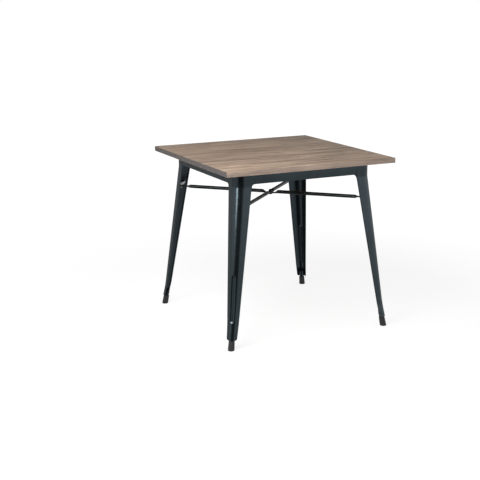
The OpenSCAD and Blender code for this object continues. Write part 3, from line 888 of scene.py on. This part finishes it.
def make_fasteners():
    up = Matrix.Translation
    down = Matrix.Rotation(math.pi, 4, "X")
    bolt_len = box_mm("brace_centre_bolt")[1].z - FLAT_Z
    nut = hexagon(NUT_H, BOLT_R, True)
    place_group("brace_centre_bolt_turned", "brace_centre_bolt", bolt(bolt_len), [up((0, 0, FLAT_Z))],
                BLACK_STEEL)
    place_group("brace_centre_washer_turned", "brace_centre_washer", washer_shape(WASHER_TOP - WASHER_Z),
                [up((0, 0, WASHER_Z))], BLACK_STEEL)
    place_group("brace_centre_nut_turned", "brace_centre_nut", nut, [up((0, 0, WASHER_TOP))],
                BLACK_STEEL)
    ends = [on_diagonal(corner) @ up((BRACE_BOLT_AT, 0, 0)) for corner in CORNERS]
    end_grip = FLAT_T + PLATE + NUT_H + THREAD_TIP
    place_group("brace_end_bolts_turned", "brace_end_bolts", bolt(end_grip),
                [end @ up((0, 0, LEAF_Z + PLATE)) @ down for end in ends], ZINC)
    place_group("brace_end_nuts_turned", "brace_end_nuts", nut,
                [end @ up((0, 0, LEAF_Z - FLAT_T - NUT_H)) for end in ends], ZINC)
    spots = [(-FRAME_HALF + LEG_STUD_AT[k], -FRAME_HALF + LEG_STUD_AT[1 - k]) for k in (0, 1)]
    studs = [(-sx * x, -sy * y) for sx, sy in CORNERS.values() for x, y in spots]
    stud_len = 2 * PLATE + NUT_H + THREAD_TIP
    place_group("leg_studs_turned", "leg_studs", thread(stud_len),
                [up((x, y, UNDER_TOP)) @ down for x, y in studs], ZINC)
    place_group("leg_nuts_turned", "leg_nuts", nut,
                [up((x, y, UNDER_TOP - 2 * PLATE - NUT_H)) for x, y in studs], ZINC)
    make_top_screws()


def screw_head():
    """A pan head with a cross recess, its bearing face at 0 and its top below. Only the head shows."""
    steps, rows = 48, 12
    rings = [circle(SCREW_HEAD_R * 0.98, 0, steps)]
    for row in range(rows + 1):
        share = row / rows
        r = SCREW_HEAD_R * math.cos(share * math.pi / 2 * 0.985)
        ring = []
        for i in range(steps):
            t = 2 * math.pi * i / steps
            x, y = r * math.cos(t), r * math.sin(t)
            drop = 0.5 + (SCREW_HEAD_H - 0.5) * math.sin(share * math.pi / 2)
            arm = min(abs(x), abs(y))
            far = max(abs(x), abs(y))
            cut = smoothstep((0.62 - arm) / 0.3) * smoothstep((2.5 - far) / 0.5)
            ring.append((x, y, -drop + 1.5 * cut))
        rings.append(ring)
    return skin(rings)


def make_top_screws():
    plate_spots = [(-FRAME_HALF + CORNER_SCREW_AT[k], -FRAME_HALF + CORNER_SCREW_AT[1 - k]) for k in (0, 1)]
    at_plates = [(-sx * x, -sy * y, UNDER_TOP - PLATE) for sx, sy in CORNERS.values() for x, y in plate_spots]
    line = FRAME_HALF - RAIL_FLANGE / 2
    gap = RAIL_SCREW_GAP / 2
    at_rails = [(s * line, d * gap, UNDER_TOP - SHEET) for s in (-1, 1) for d in (-1, 1)]
    at_rails += [(d * gap, s * line, UNDER_TOP - SHEET) for s in (-1, 1) for d in (-1, 1)]
    spots = at_plates + at_rails
    places = [Matrix.Translation(p) @ Matrix.Rotation(0.7 * i, 4, "Z") for i, p in enumerate(spots)]
    place_group("top_screws_turned", "top_screws", screw_head(), places, ZINC, 45)


# ---- studio ----


def softbox(name, place, aim, size, radiance):
    """A rectangular light panel at place, facing aim, in metres, that the camera doesn't see."""
    data = bpy.data.lights.new(name, "AREA")
    data.shape, data.size, data.size_y = "RECTANGLE", *size
    data.energy = radiance * math.pi * size[0] * size[1]
    light = bpy.data.objects.new(name, data)
    light.location = place
    light.rotation_euler = (Vector(aim) - Vector(place)).to_track_quat("-Z", "Y").to_euler()
    light.visible_camera = False
    bpy.context.scene.collection.objects.link(light)
    return light


def flat_plane(name, half):
    """A square on the ground that belongs to the stage and not to the table."""
    mesh = bpy.data.meshes.new(name)
    corners = [(-half, -half, 0), (half, -half, 0), (half, half, 0), (-half, half, 0)]
    mesh.from_pydata(corners, [], [(0, 1, 2, 3)])
    plane = bpy.data.objects.new(name, mesh)
    bpy.context.scene.collection.objects.link(plane)
    return plane


PALE = 1.0
FLOOR_HALF = 40
FLOOR_NEAR, FLOOR_FAR = 1.0, 2.6
FLOOR_EVEN, FLOOR_GLOW = 0.76, 1.07

# How bright the studio's walls are, by turn from the front towards the left, and how they fade with height.
# Both are in degrees. Reflections and diffuse light see these walls, and the camera sees an even backdrop.
WALL_LEVELS = [(-180, 0.65), (-120, 0.90), (-60, 1.20), (-30, 1.10), (-15, 0.50), (-3, 0.02), (48, 0.02),
               (58, 0.25), (78, 0.80), (110, 0.95), (150, 0.62), (180, 0.65)]
WALL_HEIGHTS = [(-90, 0.45), (-14, 0.52), (-6, 0.66), (0, 1.05), (8, 0.8), (22, 0.40), (45, 0.1), (90, 0.0)]
CEILING_HEIGHTS = [(-90, 0.0), (10, 0.0), (40, 0.24), (90, 0.32)]


def make_floor():
    """A white floor with soft shadows near the table, that fades into an even pale tone further away."""
    floor = flat_plane("floor", FLOOR_HALF)
    s = Shader("floor_white")
    diffuse = s.node("ShaderNodeBsdfDiffuse", {"Color": (0.95, 0.95, 0.95, 1)}).outputs[0]
    even = s.node("ShaderNodeEmission", {"Color": (1, 1, 1, 1), "Strength": FLOOR_GLOW}).outputs[0]
    away = s.node("ShaderNodeVectorMath", {0: s.place}, operation="LENGTH").outputs["Value"]
    share = s.levels(away, FLOOR_NEAR, FLOOR_FAR, FLOOR_EVEN, 1.0)
    mixed = s.node("ShaderNodeMixShader", {0: share, 1: diffuse, 2: even}).outputs[0]
    s.tree.links.new(mixed, s.tree.nodes["Material Output"].inputs["Surface"])
    floor.data.materials.append(s.material)
    floor.visible_glossy = False


def make_world():
    """A pale backdrop for the camera, and round the table the lit walls and dark gaps of a studio."""
    world = bpy.data.worlds.new("studio")
    world.use_nodes = True
    s = Shader.of_tree(world.node_tree)
    direction = s.tree.nodes.new("ShaderNodeTexCoord").outputs["Generated"]
    x, y, z = s.node("ShaderNodeSeparateXYZ", {0: direction}).outputs
    turn = s.math("DEGREES", s.math("ARCTAN2", s.math("MULTIPLY", x, -1.0), s.math("MULTIPLY", y, -1.0)))
    rise = s.math("DEGREES", s.math("ARCSINE", z))
    walls = s.math("MULTIPLY", s.curve(turn, WALL_LEVELS), s.curve(rise, WALL_HEIGHTS))
    level = s.math("ADD", walls, s.curve(rise, CEILING_HEIGHTS))
    seen = s.tree.nodes.new("ShaderNodeLightPath").outputs["Is Camera Ray"]
    s.tree.links.new(s.levels(seen, 0, 1, level, PALE), s.tree.nodes["Background"].inputs["Strength"])
    s.tree.nodes["Background"].inputs["Color"].default_value = (1, 1, 1, 1)
    bpy.context.scene.world = world


def make_studio():
    make_floor()
    make_world()
    softbox("overhead", (-0.2, 0.5, 2.9), (0, 0, 0.5), (2.0, 1.4), 0.5)
    softbox("key", (-1.35, -0.85, 1.85), (-0.1, -0.1, 0.7), (1.3, 1.3), 8.6)
    softbox("front_fill", (0.5, -3.0, 1.6), (0, 0, 0.6), (1.6, 1.0), 3.0)
    # The strip draws the highlight down the front leg, and lights nothing matt
    strip = softbox("strip", (-1.975, -1.125, 1.17), (-0.35, -0.35, 1.17), (0.5, 0.94), 9.5)
    strip.visible_diffuse = False


def make_camera():
    """The view: place, turn and lens of the studio camera."""
    data = bpy.data.cameras.new("camera")
    data.lens, data.sensor_width = 77.68, 36
    camera = bpy.data.objects.new("camera", data)
    yaw, pitch, roll = -0.443833, 0.239173, -0.005696
    place = Matrix.Translation((-2.10083, -4.09583, 1.47535))
    heading = Matrix.Rotation(yaw, 4, "Z") @ Matrix.Rotation(math.pi / 2 - pitch, 4, "X")
    turn = heading @ Matrix.Rotation(roll, 4, "Z")
    camera.matrix_world = place @ turn
    data.clip_end = 200
    bpy.context.scene.collection.objects.link(camera)
    bpy.context.scene.camera = camera


make_camera()
make_top()
make_legs()
make_rails()
make_plates()
make_ferrules()
make_brace()
make_brackets()
make_fasteners()
make_studio()
bpy.context.scene.view_settings.view_transform = "Standard"

bpy.context.view_layer.update()
